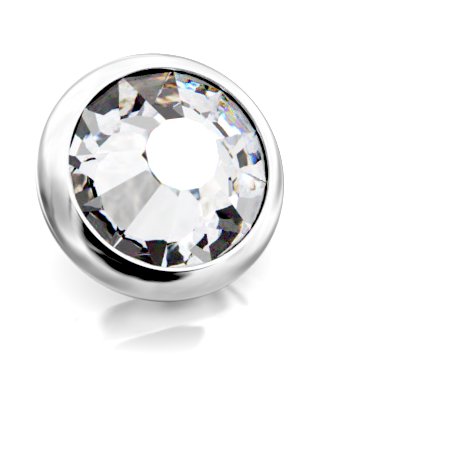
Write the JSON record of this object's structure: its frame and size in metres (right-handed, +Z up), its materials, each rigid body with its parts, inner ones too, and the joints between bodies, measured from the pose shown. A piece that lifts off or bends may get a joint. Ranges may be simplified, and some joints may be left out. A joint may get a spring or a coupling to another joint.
{
  "type": "dermal anchor top",
  "caption": "Dermal anchor top: a round polished steel cup with a domed faceted crystal, a dished back and a short threaded post.",
  "frame": {"origin": "on the resting surface, below the middle of the part's own box", "axes": "+Z up from the surface; -Y is the side that the stone faces; +X to the right of the stone; the part lies as it rests by itself, on its back edge and the end of its post"},
  "size_m": [0.006, 0.005, 0.0048],
  "materials": {
    "polished_steel": "mirror-polished surgical stainless steel, turned on the back and the post",
    "crystal": "clear cut crystal with a silvered flat back"
  },
  "bodies": {
    "root": {"setting": "polished_steel", "crystal": "crystal"}
  },
  "joints": []
}
